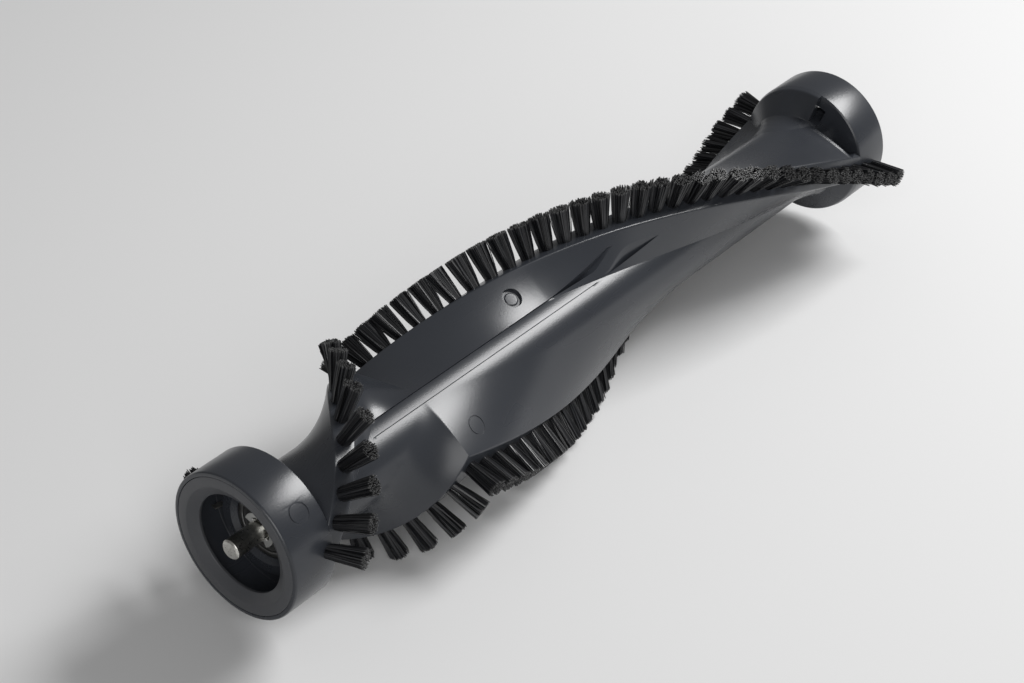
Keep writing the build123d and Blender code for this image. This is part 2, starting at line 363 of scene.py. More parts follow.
def skin(name, rings, close=False):
    """A surface through rings of points, each ring closed. A ring of one point is a pole.
    With close, the last ring joins the first."""
    points = []
    starts = []
    for ring in rings:
        starts.append(len(points))
        points.extend(ring)
    faces = []
    pairs = list(zip(range(len(rings)), range(1, len(rings))))
    if close:
        pairs.append((len(rings) - 1, 0))
    for i, j in pairs:
        a, b = starts[i], starts[j]
        na, nb = len(rings[i]), len(rings[j])
        for k in range(max(na, nb)):
            n = (k + 1) % max(na, nb)
            if na == 1:
                faces.append((a, b + n, b + k))
            elif nb == 1:
                faces.append((a + k, a + n, b))
            else:
                faces.append((a + k, a + n, b + n, b + k))
    return new_object(name, points, faces)


def circle(station, radius):
    """A ring of points round the axis, or one point on it."""
    if radius == 0:
        return to_scene(station, (0, 0))
    angles = np.linspace(0, 360, circle_points, endpoint=False)
    return to_scene(station, [polar(radius, a) for a in angles])


def turned(name, profile, reach=0.12, closed=True):
    """A piece turned round the axis from a profile of (station, radius) points with soft corners.
    A closed profile is a ring, and an open one starts and ends on the axis."""
    soft = soften(profile, reach, closed=closed)
    return skin(name, [circle(s, r) for s, r in soft], close=closed)


def sector(name, profile_at, first, last, steps=24):
    """A solid swept through part of a turn from a closed profile of (station, radius) points,
    which may change on the way: it is given by how far the angle has gone."""
    points = []
    faces = []
    count = len(profile_at(0))
    for angle in np.linspace(first, last, steps + 1):
        points += [roll_point(s, r, angle) for s, r in profile_at(angle - first)]
    for i in range(steps):
        for k in range(count):
            n = (k + 1) % count
            a = i * count
            faces.append((a + k, a + n, a + count + n, a + count + k))
    faces.append(tuple(range(count)))
    faces.append(tuple(steps * count + k for k in range(count)))
    return new_object(name, points, faces)


def spun(name, profile, centre, up, count=48, close=False):
    """A solid of revolution about a line through centre, from (height, radius) points along up."""
    up = Vector(up).normalized()
    side = up.orthogonal().normalized()
    across = up.cross(side)
    rings = []
    for height, radius in profile:
        middle = Vector(centre) + up * height * MM
        if radius == 0:
            rings.append([middle])
            continue
        turns = np.linspace(0, 2 * math.pi, count, endpoint=False)
        rings.append(
            [middle + (side * math.cos(t) + across * math.sin(t)) * radius * MM for t in turns]
        )
    return skin(name, rings, close)


def plate(name, outline, start, end, bevel):
    """A flat piece across the axis from its outline of section points, with bevelled edges."""
    outline = np.array(outline)
    sides = np.roll(outline, -1, axis=0) - np.roll(outline, 1, axis=0)
    inward = np.column_stack((-sides[:, 1], sides[:, 0]))
    inward /= np.linalg.norm(inward, axis=1)[:, None]
    inner = outline + inward * bevel
    rings = [(start, inner), (start + bevel, outline), (end - bevel, outline), (end, inner)]
    count = len(outline)
    points = np.concatenate([to_scene(station, ring) for station, ring in rings])
    faces = [tuple(range(count)), tuple(range(3 * count, 4 * count))]
    for i in range(3):
        for k in range(count):
            n = (k + 1) % count
            a = i * count
            faces.append((a + k, a + n, a + count + n, a + count + k))
    return new_object(name, points, faces)


def finish_piece(obj, body, finish, nodes=()):
    """Puts a piece on its body, with its material and record slot, in place of the CAD nodes."""
    obj.data.materials.clear()
    obj.data.materials.append(finish)
    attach(obj, body)
    if nodes:
        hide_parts(*nodes)
    return obj


# Materials


def shader(name, colour, roughness, metallic=0.0):
    """A material with a Principled shader."""
    made = bpy.data.materials.new(name)
    made.use_nodes = True
    nodes = made.node_tree.nodes
    principled = nodes["Principled BSDF"]
    principled.inputs["Base Color"].default_value = (*colour, 1)
    principled.inputs["Roughness"].default_value = roughness
    principled.inputs["Metallic"].default_value = metallic
    return made, nodes, made.node_tree.links, principled


# The range of the noise in use, and its scales in waves per metre
noise_low, noise_high = 0.15, 0.85
flow_scale = 45
gloss_scale = 90
grain_scale = 3000
turning_scale = 700

# The Mix node's sockets for colours
mix_dark, mix_light, mix_result = 6, 7, 2


def noise(nodes, links, scale, detail=2.0, stretch=(1, 1, 1)):
    """Noise over the object's own coordinates, which are metres."""
    place = nodes.new("ShaderNodeTexCoord")
    mapping = nodes.new("ShaderNodeMapping")
    mapping.inputs["Scale"].default_value = stretch
    texture = nodes.new("ShaderNodeTexNoise")
    texture.inputs["Scale"].default_value = scale
    texture.inputs["Detail"].default_value = detail
    links.new(place.outputs["Object"], mapping.inputs["Vector"])
    links.new(mapping.outputs["Vector"], texture.inputs["Vector"])
    return texture.outputs["Fac"]


def vary(nodes, links, source, low, high, target):
    """Drives a number of the shader between two values by a texture."""
    span = nodes.new("ShaderNodeMapRange")
    span.inputs["From Min"].default_value = noise_low
    span.inputs["From Max"].default_value = noise_high
    span.inputs["To Min"].default_value = low
    span.inputs["To Max"].default_value = high
    links.new(source, span.inputs["Value"])
    links.new(span.outputs["Result"], target)


def ramp(nodes, dark, light, low=0.0, high=1.0):
    """A ramp from a dark colour to a light one."""
    made = nodes.new("ShaderNodeValToRGB")
    first, last = made.color_ramp.elements
    first.position, last.position = low, high
    first.color, last.color = (*dark, 1), (*light, 1)
    return made


def tint(nodes, links, source, dark, light, target):
    """Drives a colour of the shader between two colours by a texture."""
    shades = ramp(nodes, dark, light, noise_low, noise_high)
    links.new(source, shades.inputs["Fac"])
    links.new(shades.outputs["Color"], target)


def bump(nodes, links, source, distance, strength, principled):
    """Fine relief from a texture."""
    relief = nodes.new("ShaderNodeBump")
    relief.inputs["Distance"].default_value = distance
    relief.inputs["Strength"].default_value = strength
    links.new(source, relief.inputs["Height"])
    links.new(relief.outputs["Normal"], principled.inputs["Normal"])


def moulded_plastic(name, dark, light, gloss):
    """Satin moulded plastic: a fine grain, faint flow marks and an uneven gloss."""
    made, nodes, links, principled = shader(name, dark, gloss[0])
    flow = noise(nodes, links, flow_scale, 4)
    tint(nodes, links, flow, dark, light, principled.inputs["Base Color"])
    gloss_map = noise(nodes, links, gloss_scale, 3, (0.3, 1, 1))
    vary(nodes, links, gloss_map, *gloss, principled.inputs["Roughness"])
    bump(nodes, links, noise(nodes, links, grain_scale, 3), 0.00004, 0.3, principled)
    return made


def turned_steel(name, dark, light, gloss, marks=0.25, grain=(9, 0.6, 0.6)):
    """Steel with the fine marks of turning, which run round the axis, or with an even grain."""
    made, nodes, links, principled = shader(name, dark, gloss, 1.0)
    lines = noise(nodes, links, turning_scale, 3, grain)
    tint(nodes, links, lines, dark, light, principled.inputs["Base Color"])
    vary(nodes, links, lines, gloss, gloss + 0.12, principled.inputs["Roughness"])
    bump(nodes, links, lines, 0.000012, marks, principled)
    return made


def nylon(name):
    """Black nylon filaments: each has its own shade, and the cut tips are paler and dull."""
    made, nodes, links, principled = shader(name, (0.010, 0.010, 0.011), 0.34)
    strand = nodes.new("ShaderNodeAttribute")
    strand.attribute_name = "shade"
    side = ramp(nodes, (0.004, 0.004, 0.005), (0.026, 0.027, 0.030))
    end = ramp(nodes, (0.010, 0.010, 0.011), (0.120, 0.120, 0.120))
    links.new(strand.outputs["Fac"], side.inputs["Fac"])
    links.new(strand.outputs["Fac"], end.inputs["Fac"])
    along = nodes.new("ShaderNodeAttribute")
    along.attribute_name = "along"
    tip = nodes.new("ShaderNodeMapRange")
    tip.inputs["From Min"].default_value = 0.95
    links.new(along.outputs["Fac"], tip.inputs["Value"])
    mix = nodes.new("ShaderNodeMix")
    mix.data_type = "RGBA"
    links.new(tip.outputs["Result"], mix.inputs["Factor"])
    links.new(side.outputs["Color"], mix.inputs[mix_dark])
    links.new(end.outputs["Color"], mix.inputs[mix_light])
    links.new(mix.outputs[mix_result], principled.inputs["Base Color"])
    return made


charcoal = moulded_plastic(
    "charcoal_plastic", (0.025, 0.028, 0.034), (0.033, 0.036, 0.043), (0.24, 0.32)
)
ring_plastic = moulded_plastic(
    "ring_plastic", (0.048, 0.050, 0.055), (0.058, 0.060, 0.066), (0.38, 0.48)
)
drive_plastic = moulded_plastic(
    "drive_plastic", (0.012, 0.012, 0.013), (0.018, 0.018, 0.020), (0.34, 0.44)
)
bristle = nylon("bristle_nylon")
pin_steel = turned_steel(
    "pin_steel", (0.44, 0.43, 0.40), (0.72, 0.71, 0.67), 0.24, 0.04, (2.5, 2.5, 2.5)
)
# The races sit deep in the near drum's hollow, and their grey is painted darker than the balls' and
# the cage's. This is a painted shade for the hollow.
race_steel = turned_steel("race_steel", (0.20, 0.20, 0.20), (0.30, 0.30, 0.29), 0.26)
ball_steel = turned_steel("ball_steel", (0.55, 0.55, 0.55), (0.62, 0.62, 0.62), 0.08, 0.05)
cage_steel = turned_steel("cage_steel", (0.40, 0.38, 0.34), (0.50, 0.48, 0.43), 0.30)
# The shields are painted nearly black, a painted shade of the hollow in front of the bearing.
shield_steel = turned_steel("shield_steel", (0.05, 0.05, 0.05), (0.08, 0.08, 0.08), 0.42)
clip_steel = turned_steel("clip_steel", (0.42, 0.42, 0.41), (0.58, 0.58, 0.56), 0.30, 0.08)
# The washer is painted much darker than the clip beside it, a painted shade of the hollow round the
# pin.
washer_steel = turned_steel("washer_steel", (0.06, 0.06, 0.06), (0.10, 0.10, 0.10), 0.40)
wire_steel = turned_steel("wire_steel", (0.38, 0.37, 0.35), (0.50, 0.49, 0.46), 0.30)


# Moulded body

# How many spans each part of the section has
land_spans = 8
corner_spans = 5
face_spans = 12
middle_spans = 8
toe_spans = 5
core_spans = 8
rise_spans = 30

# The leading side's points as shares of the way along it
edge_share_least = 0.3
foot_share_most = 0.5
wall_shares = (0.1, 0.9)
settled_share = 0.5
share_gap = 0.03


def leading_toe(station):
    """The angle where row A's flat leading side meets the core."""
    return max(step_angle, row_angle(station) + leading_foot_least)


def core_start(station):
    """The angle where the bare core starts, past the first mould line."""
    return max(leading_toe(station), step_angle + step_toe)


def crossing(start, end, angle):
    """How far along a line of the section it crosses an angle, as a share from 0 to 1."""
    ray = polar(1, angle)
    before = start[0] * ray[1] - start[1] * ray[0]
    after = ray[0] * end[1] - ray[1] * end[0]
    if before <= 0:
        return 0.0
    return 1.0 if after <= 0 else before / (before + after)


def corner_curve(before, corner, after):
    """A short curve round a corner, without its last point."""
    return [
        (1 - t) ** 2 * before + 2 * t * (1 - t) * corner + t**2 * after
        for t in np.linspace(0, 1, corner_spans, endpoint=False)
    ]


def between(start, end, share):
    """The point at a share of the way from start to end."""
    return start + (end - start) * share


def toward(start, end, distance):
    """The point at a distance from start on the way to end."""
    return between(start, end, distance / np.linalg.norm(end - start))


def spread(start, end, spans):
    """Points from start to end, without the end."""
    return [between(start, end, t) for t in np.linspace(0, 1, spans, endpoint=False)]


def outward(point, distance):
    """A section point moved away from the axis, or towards it."""
    return point * (1 + distance / np.linalg.norm(point))


def closing(station, wedge):
    """How open a wedge still is, from 1 to 0 at its end."""
    return min(1.0, max(0.0, (wedge["end"] - station) / wedge["taper"])) ** wedge["power"]


def step_shape(station):
    """The first mould line: how far its edge is raised, its depth and its width."""
    there = ease(station, *step_comes)
    left = closing(station, first_wedge)
    rise = step_rise * there * (1 - ease(station, *step_goes))
    depth = step_depth * there + first_wedge["depth"] * ease(station, *first_wedge["deepens"])
    width = step_width + first_wedge["width"] * ease(station, *first_wedge["widens"]) * left
    return rise, depth * left, width


def second_shape(station):
    """The second mould line where the leading side crosses it: its depth and its width."""
    opened = ease(station, *second_wedge["opens"]) * closing(station, second_wedge)
    return second_wedge["depth"] * opened, second_width + second_wedge["width"] * opened


def leading_side(station, start, toe, turn):
    """The flat leading side with its two mould lines, from its first point to the bare core."""
    edge = between(start, toe, max(edge_share_least, crossing(start, toe, step_angle + turn)))
    end = polar(core_radius, core_start(station) + turn)
    rest = np.linalg.norm(end - edge)
    rise, depth, width = step_shape(station)
    raised = outward(edge, rise)
    foot_share = min(foot_share_most, width / rest)
    points = spread(start, raised, face_spans) + [raised, outward(edge, -depth)]
    depth, width = second_shape(station)
    least, most = wall_shares
    wall_share = min(most, max(least, crossing(edge, end, wedge_angle + turn)))
    settled = ease(station, second_wedge["end"], second_settles)
    wall_share += (settled_share - wall_share) * settled
    wall_share = max(wall_share, foot_share + 2 * share_gap)
    foot = between(edge, end, foot_share)
    slope = between(edge, end, max(foot_share + share_gap, wall_share - width / rest))
    wall = between(edge, end, wall_share)
    points += spread(foot, slope, middle_spans) + [slope, outward(wall, -depth)]
    return points + spread(wall, end, toe_spans)


def trailing_radius(angle, foot, next_corner):
    """The radius of the side that rises as one arc from the core to the next land's corner."""
    if angle <= foot:
        return core_radius
    start = polar(core_radius, foot)
    inward = -start / core_radius
    chord = next_corner - start
    radius = chord.dot(chord) / (2 * chord.dot(inward))
    centre = start + inward * radius
    level = polar(1, angle).dot(centre)
    root = math.sqrt(max(0.0, level**2 - centre.dot(centre) + radius**2))
    return level + math.copysign(root, radius)


def core_and_rise(station, turn, last):
    """Section points of the core with its groove, and of the side up to the next land's start."""
    first = core_start(station) + turn
    foot = row_angle(station) + turn + trailing_foot
    next_corner = polar(land_radius, last)
    line = max(groove_angle + turn, first + groove_clear)
    depth = groove_depth * ease(station, *groove_comes) * (1 - ease(station, *groove_goes))
    places = [(a, 0.0) for a in np.linspace(first, line - groove_half, core_spans + 1)]
    places += [(line, depth)]
    places += [(a, 0.0) for a in np.linspace(line + groove_half, last, rise_spans + 1)[:-2]]
    return [polar(trailing_radius(a, foot, next_corner) - sunk, a) for a, sunk in places]


def vane_half(station, turn):
    """Section points of a vane's land and leading side, the core, and the next trailing side."""
    middle = row_angle(station) + turn
    inset = math.degrees(land_corner / land_radius)
    half = land_half_angle - inset
    points = [polar(land_radius, middle + a) for a in np.linspace(-half, half, land_spans + 1)[:-1]]
    corner = polar(land_radius, middle + land_half_angle)
    toe = polar(core_radius, leading_toe(station) + turn)
    start = toward(corner, toe, land_corner)
    points += corner_curve(polar(land_radius, middle + half), corner, start)
    points += leading_side(station, start, toe, turn)
    last = middle + half_turn - land_half_angle
    next_corner = polar(land_radius, last)
    points += core_and_rise(station, turn, last)
    near = toward(next_corner, points[-1], land_corner)
    return points + corner_curve(near, next_corner, polar(land_radius, last + inset))


def slot_sectors():
    """The sectors of the two slots beside the far drum."""
    return [(slot_first + turn, slot_last + turn) for turn in turns]


def body_section(station):
    """The twisted body's section between the drums, with a round lip before the slots."""
    points = np.array([point for turn in turns for point in vane_half(station, turn)])
    before = slot_start - station
    if before >= lip_length:
        return to_scene(station, points)
    rise = lip_height * ease(lip_length - before, 0, lip_length - slot_edge)
    rise -= (lip_height + slot_edge) * ease(slot_edge - before, 0, slot_edge)
    angles = np.degrees(np.arctan2(points[:, 1], points[:, 0])) % 360
    for i, angle in enumerate(angles):
        radius = np.linalg.norm(points[i])
        inside = any(first < angle < last for first, last in slot_sectors())
        if inside and core_radius + slot_edge < radius < land_radius - slot_edge:
            points[i] = outward(points[i], rise)
    return to_scene(station, points)


def twisted_body():
    """The core and the two vanes, sunk a little into both drums."""
    low, high = near_drum - vane_sink, far_drum + vane_sink
    stations = list(np.arange(low, high, row_step))
    stations += [slot_start - d for d in np.linspace(0, lip_length, 10)]
    stations += [vertex_station, high]
    stations = sorted(stations)
    rings = [circle(stations[0], 0)] + [body_section(s) for s in stations]
    return skin("roller_body_skin", rings + [circle(stations[-1], 0)])


def hollow_end(neck):
    """The profile of a drum with its trough and its still solid tube, and of the neck behind it."""
    profile = [
        (tube_front, 0),
        (tube_front, tube_radius),
        (trough_depth, tube_radius),
        (trough_depth, trough_radius),
        (ring_thickness, trough_radius),
        (ring_thickness, ring_radius + seat_clearance),
        (0, ring_radius + seat_clearance, 0.1),
        (0, drum_radius, drum_edge),
    ]
    return profile + neck


def flipped(profile):
    """A profile of the near end, for the far one."""
    return [(body_length - p[0], *p[1:]) for p in profile]


def near_hollow_end():
    """The near drum and its neck."""
    neck = [(near_drum, drum_radius, drum_edge)]
    neck += [(near_drum + point[0], *point[1:]) for point in near_neck]
    neck += [(near_root, root_radius), (near_root, 0)]
    return turned("near_end", hollow_end(neck), 0.3, closed=False)


def far_hollow_end():
    """The far drum, with a foot inside the core."""
    neck = [(far_depth, drum_radius, far_edge), (far_depth, far_neck_radius)]
    neck += [(far_root, root_radius), (far_root, 0)]
    return turned("far_end", flipped(hollow_end(neck)), 0.3, closed=False)


def seats():
    """Cutters for the bearing's seat with the relief behind it, and for the coupling's seat."""
    front = tube_front - cut_clear
    back = tube_front + coupling_length
    bearing = [
        (front, 0),
        (front, tube_mouth + bearing_lead),
        (bearing_front, tube_mouth - bearing_lead),
        (bearing_back, bearing_radius),
        (bearing_back, relief_radius),
        (relief_back, relief_radius),
        (relief_back, 0),
    ]
    coupling = [(front, 0), (front, coupling_radius), (back, coupling_radius), (back, 0)]
    cuts = [turned("bearing_seat", bearing, 0.15, closed=False)]
    return cuts + [turned("coupling_seat", flipped(coupling), 0.15, closed=False)]


def facing(point_at, station, place):
    """A point of a surface in metres and the direction out of it, from its points by place."""
    step = 0.02
    along = point_at(station + step, place) - point_at(station - step, place)
    across = point_at(station, place + step) - point_at(station, place - step)
    middle = point_at(station, place)
    out = np.cross(along, across)
    radial = middle * np.array((0, 1, 1)) - np.array((0, 0, axis_height * MM))
    return middle, out / np.linalg.norm(out) * math.copysign(1, out.dot(radial))


def leading_point(turn):
    """The leading side's points by station and share of the way from the land to the core."""

    def point_at(station, share):
        corner = polar(land_radius, row_angle(station) + land_half_angle + turn)
        toe = polar(core_radius + step_shape(station)[0], leading_toe(station) + turn)
        return to_scene(station, between(corner, toe, share))[0]

    return point_at


def trailing_point(turn):
    """The trailing side's points by station and angle."""

    def point_at(station, angle):
        middle = row_angle(station) + turn
        next_corner = polar(land_radius, middle + half_turn - land_half_angle)
        radius = trailing_radius(angle, middle + trailing_foot, next_corner)
        return roll_point(station, radius, angle)

    return point_at


def drum_point(station, angle):
    """The drums' outer points by station and angle."""
    return roll_point(station, drum_radius, angle)


def ring_cut(name, place, radius, depth, width):
    """A thin round groove to cut into a surface."""
    inner, outer = radius - width / 2, radius + width / 2
    profile = [(-depth, inner), (mark_clear, inner), (mark_clear, outer), (-depth, outer)]
    return spun(name, profile, *place, close=True)


def round_marks():
    """Cutters for the round recesses on the leading sides and the thin rings elsewhere."""
    station, angle = vane_mark_place
    cuts = []
    for turn in turns:
        place = facing(leading_point(turn), recess_station, recess_share)
        cuts.append(spun("recess", recess_profile, *place))
        place = facing(trailing_point(turn), station, angle + turn)
        cuts.append(ring_cut("vane_mark", place, **vane_mark))
    cuts.append(ring_cut("drum_mark", facing(drum_point, *drum_mark_place), **drum_mark))
    return cuts


def joined(name, solids):
    """Solids that don't touch, as one object."""
    shell = bmesh.new()
    for solid in solids:
        shell.from_mesh(solid.data)
        bpy.data.objects.remove(solid)
    mesh = bpy.data.meshes.new(name)
    shell.to_mesh(mesh)
    shell.free()
    obj = bpy.data.objects.new(name, mesh)
    bpy.context.scene.collection.objects.link(obj)
    return obj


def flare_profile(gone):
    """The far drum's flare: a slow curve that fades past the slot's corner, then a cone up to
    the rim, which starts later there."""
    fade = 1 - (1 - flare_left) * ease(gone, *flare_fades)
    late = flare_lag * ease(gone, *flare_lags)
    start = far_drum - flare_start
    profile = [(start, flare_inside, 0), (start, flare_base - 0.1, 0)]
    for i, (before, rise, *reach) in enumerate(flare_curve):
        shift = late * i / (len(flare_curve) - 1)
        profile.append((far_drum - before + shift, flare_base + rise * fade, *reach))
    profile += [(far_drum - before, *rest) for before, *rest in flare_rim]
    profile += [(profile[-1][0], flare_inside, 0)]
    return soften(profile, 0.5, closed=True)


def block(start, end, low, high):
    """A rectangular profile between two stations and two radii."""
    return [(start, low), (start, high), (end, high), (end, low)]


def on_both_vanes(name, profile_at, first, last, steps):
    """A swept solid for each vane."""
    return [sector(name, profile_at, first + turn, last + turn, steps) for turn in turns]


def make_roller_body():
    """The one moulding: core and vanes, a hollow drum at each end, flares, slots and marks."""
    body = twisted_body()
    slot = block(slot_start + slot_gap, far_drum + slot_beyond, slot_floor, slot_top)
    window = block(far_drum - window_before, far_drum + window_beyond, window_low, window_high)
    flares = on_both_vanes("flare", flare_profile, flare_first, flare_last, 60)
    slots = on_both_vanes("slot", lambda gone: slot, slot_first, slot_last, 30)
    windows = on_both_vanes("window", lambda gone: window, window_first, window_last, 6)
    combine(body, flares, "UNION")
    combine(body, slots, "DIFFERENCE")
    combine(body, [near_hollow_end(), far_hollow_end()], "UNION")
    combine(body, seats() + windows + round_marks(), "DIFFERENCE")
    return body


# Ring pressed into each drum's mouth


def make_end_ring(name, far=False):
    """A flat ring with a mouth that narrows inward."""
    profile = [
        (0, ring_radius, 0.3),
        (0, ring_mouth, 0.2),
        (ring_slope, ring_hole, 0.15),
        (ring_thickness, ring_hole),
        (ring_thickness, ring_radius),
    ]
    return turned(name, flipped(profile) if far else profile, 0.15)


# Ball bearing


def groove(radius, side):
    """The points of a race's groove, from the front to the back."""
    half = math.degrees(math.acos(abs(radius - ball_pitch) / groove_radius))
    points = []
    for a in np.linspace(half, -half, 9):
        along, up = polar(groove_radius, 90 + a)
        points.append((bearing_middle + along, ball_pitch + side * up, 0))
    return points


def make_races():
    """The two races, each with a rounded groove for the balls."""
    outside, bore = bearing_radius - slip, pin_radius + slip
    outer = [(bearing_front, outside), (bearing_front, race_bore)] + groove(race_bore, 1)
    outer += [(bearing_back, race_bore), (bearing_back, outside)]
    inner = [(bearing_front, race_outside)] + groove(race_outside, -1)
    inner += [(bearing_back, race_outside), (bearing_back, bore), (bearing_front, bore)]
    return turned("outer_race", outer, 0.25), turned("inner_race", inner, 0.2)


ball_spans = 16


def make_balls():
    """The balls on the cage's circle."""
    balls = []
    profile = [polar(ball_radius, a) for a in np.linspace(0, 180, ball_spans + 1)[1:-1]]
    profile = [(ball_radius, 0), *profile, (-ball_radius, 0)]
    for i in range(ball_count):
        angle = 360 * i / ball_count
        up = to_scene(0, polar(1, angle))[0] - to_scene(0, (0, 0))[0]
        balls.append(spun("ball", profile, roll_point(bearing_middle, ball_pitch, angle), up, 32))
    obj = joined("balls", balls)
    smooth(obj)
    return obj


def make_shield(name, station, way):
    """A dished sheet between the races, from the station of its outer face."""
    profile = [
        (0.0, race_bore - slip),
        (0.0, race_bore - 0.5, 0.2),
        (shield_dish, race_bore - 0.75, 0.2),
        (shield_dish, race_outside + shield_gap),
        (shield_sheet, race_outside + shield_gap),
        (shield_sheet, race_bore - slip),
    ]
    return turned(name, [(station + way * p[0], *p[1:]) for p in profile], 0.08)


# Axle pin, clip and washer


def make_pin():
    """The pin: a chamfered tip, the clip's groove, and a head behind the bearing."""
    groove_front, groove_back = clip_front - slip, clip_back + slip
    head = bearing_back + slip
    profile = [
        (pin_tip, 0),
        (pin_tip, pin_radius - pin_chamfer_depth, 0.1),
        (pin_tip + pin_chamfer, pin_radius, 0.1),
        (groove_front, pin_radius),
        (groove_front, pin_groove),
        (groove_back, pin_groove),
        (groove_back, pin_radius),
        (head, pin_radius),
        (head, head_radius),
        (head + head_length, head_radius),
        (head + head_length, 0),
    ]
    return turned("axle_pin_turned", profile, 0.06, closed=False)


def make_clip():
    """An open spring clip: a ring with one prong opposite its opening and one at each end. Only
    the corners beside a long side are rounded."""
    arcs = [
        (clip_outer, -clip_open, clip_open),
        (prong_tip, clip_open, prong_side),
        (clip_inner, prong_side, prong_half),
        (prong_tip, prong_half, -prong_half),
        (clip_inner, -prong_half, -prong_side),
        (prong_tip, -prong_side, -clip_open),
    ]
    outline = []
    for radius, start, end in arcs:
        steps = max(5, round(abs(end - start) / 5))
        outline += [(*polar(radius, clip_middle + a), 0) for a in np.linspace(start, end, steps)]
    for i in range(len(outline)):
        before, after = outline[i - 1][:2], outline[(i + 1) % len(outline)][:2]
        longest = max(math.dist(outline[i][:2], before), math.dist(outline[i][:2], after))
        if longest > clip_long_side:
            outline[i] = (*outline[i][:2], clip_corner)
    return plate("spring_clip", soften(outline, 0, closed=True), clip_front, clip_back, 0.08)


def make_washer():
    """The washer between the clip and the bearing."""
    profile = block(clip_back + slip, bearing_front - slip, pin_radius + slip, washer_radius)
    return turned("thrust_washer_turned", profile, 0.1)


# Drive coupling


def make_coupling():
    """The drive coupling: a barrel and a flange round a hexagonal socket."""
    flange = body_length - tube_front
    back = flange - coupling_length
    barrel_radius = coupling_radius - coupling_gap
    profile = [
        (back, 0),
        (back, barrel_radius),
        (flange, barrel_radius),
        (flange, flange_radius),
        (flange + flange_length, flange_radius),
        (flange + flange_length, hub_radius + 0.6, 0.2),
        (flange + hub_length, hub_radius, 0.2),
        (flange + hub_length, 0),
    ]
    body = turned("coupling", profile, 0.25, closed=False)
    corner_radius = socket_flats / 2 / math.cos(math.radians(30))
    outline = soften([polar(corner_radius, a) for a in range(0, 360, 60)], 0.8, closed=True)
    socket = plate("socket", outline, flange - socket_depth, flange + socket_beyond, 0.05)
    combine(body, [socket], "DIFFERENCE")
    return body


# Tufts

strands = 200
strand_radius = 0.13
strand_sides = 3
levels = 4
clumps = 9
clump_pull = 0.38
stray = 0.16
lean_spread = 1.5
cut_spread = (0.02, 0.35)
tone_spread = 0.12
root_sink = 0.6
fan_power = 0.75
tip_clearance = 0.12
floor_clearance = 0.03
golden_angle = math.pi * (3 - math.sqrt(5))


def tuft_frame(station, turn, lean, sway):
    """The foot of a tuft on the drums' radius, and directions along its row, across it and up."""
    angle = math.radians(row_angle(station) + turn)
    twist = long_twist if station >= vertex_station else -short_twist
    tilt = math.radians(lean)
    out = np.array((0, math.cos(angle), math.sin(angle)))
    round_way = np.array((0, -math.sin(angle), math.cos(angle)))
    axis = np.array((1.0, 0, 0))
    up = out * math.cos(tilt) + axis * math.sin(tilt) + round_way * math.sin(math.radians(sway))
    up /= np.linalg.norm(up)
    along = axis * math.cos(tilt) - out * math.sin(tilt)
    along += round_way * math.radians(twist) * (drum_radius + tip_radius) / 2
    along -= up * along.dot(up)
    along /= np.linalg.norm(along)
    foot = np.array((near_face + station, 0, axis_height)) + out * drum_radius
    return foot, along, np.cross(up, along), up


def tuft_spread(random, tip_spread, flare):
    """Each strand's place at the tuft's root and at its tip, in mm along and across the row."""
    spiral = np.arange(strands) + 0.5
    share = np.sqrt(spiral / strands)
    disc = np.column_stack((np.cos(spiral * golden_angle), np.sin(spiral * golden_angle)))
    disc *= share[:, None]
    tip = disc * np.array(tip_spread) * flare
    centres = tip[random.choice(strands, clumps, replace=False)]
    nearest = np.argmin(np.linalg.norm(tip[:, None] - centres[None], axis=2), axis=1)
    tip += (centres[nearest] - tip) * random.uniform(0.0, clump_pull, (strands, 1))
    tip += random.normal(0, stray, (strands, 2)) + random.normal(0, stray, 2)
    return disc * root_spread, tip


def strand_path(frame_at, root, tip, length):
    """The points of one strand from its root to its cut tip, in mm."""
    foot, along, across, up = frame_at
    limit = tip_radius - tip_clearance
    path = []
    for t in np.linspace(0, 1, levels):
        place = root + (tip - root) * t**fan_power
        height = length * t - (1 - t) * root_sink
        point = foot + along * place[0] + across * place[1] + up * height
        reach = math.hypot(point[1], point[2] - axis_height)
        if reach > limit:
            point[1] *= limit / reach
            point[2] = axis_height + (point[2] - axis_height) * limit / reach
        path.append(point)
    return path


def strand_points(frame_at, path, spin):
    """The corners of a thin prism along a strand's path, in metres."""
    points = []
    for centre in path:
        for corner in range(strand_sides):
            a = 2 * math.pi / strand_sides * corner + spin
            edge = frame_at[1] * math.cos(a) + frame_at[2] * math.sin(a)
            point = centre + edge * strand_radius
            point[2] = max(point[2], floor_clearance)
            points.append(point * MM)
    return points


def strand_faces(base):
    """The sides and the two ends of the strand whose points start at base."""
    faces = []
    for level in range(levels - 1):
        a = base + strand_sides * level
        b = a + strand_sides
        for c in range(strand_sides):
            n = (c + 1) % strand_sides
            faces.append((a + c, a + n, b + n, b + c))
    top = base + strand_sides * (levels - 1)
    ends = [range(top, top + strand_sides), range(base + strand_sides - 1, base - 1, -1)]
    return faces + [tuple(end) for end in ends]


def tuft_strands(layout, index, turn, random):
    """The points of one tuft's strands, and the strands' shades."""
    station = layout["first"] + layout["pitch"] * index
    lean = layout["lean"] + random.normal(0, lean_spread)
    sway = layout["sway"] + random.normal(0, lean_spread)
    flare = 1.0
    if layout["last"] and index == layout["count"] - 1:
        lean, flare = layout["last"]
    frame_at = tuft_frame(station, turn, lean, sway)
    roots, tips = tuft_spread(random, layout["tip"], flare)
    lengths = tip_radius - drum_radius - random.uniform(*cut_spread, strands)
    tones = random.uniform(0, 1, strands) + random.normal(0, tone_spread)
    points = []
    for k in range(strands):
        path = strand_path(frame_at, roots[k], tips[k], lengths[k])
        points += strand_points(frame_at, path, k)
    return points, np.clip(tones, 0, 1)


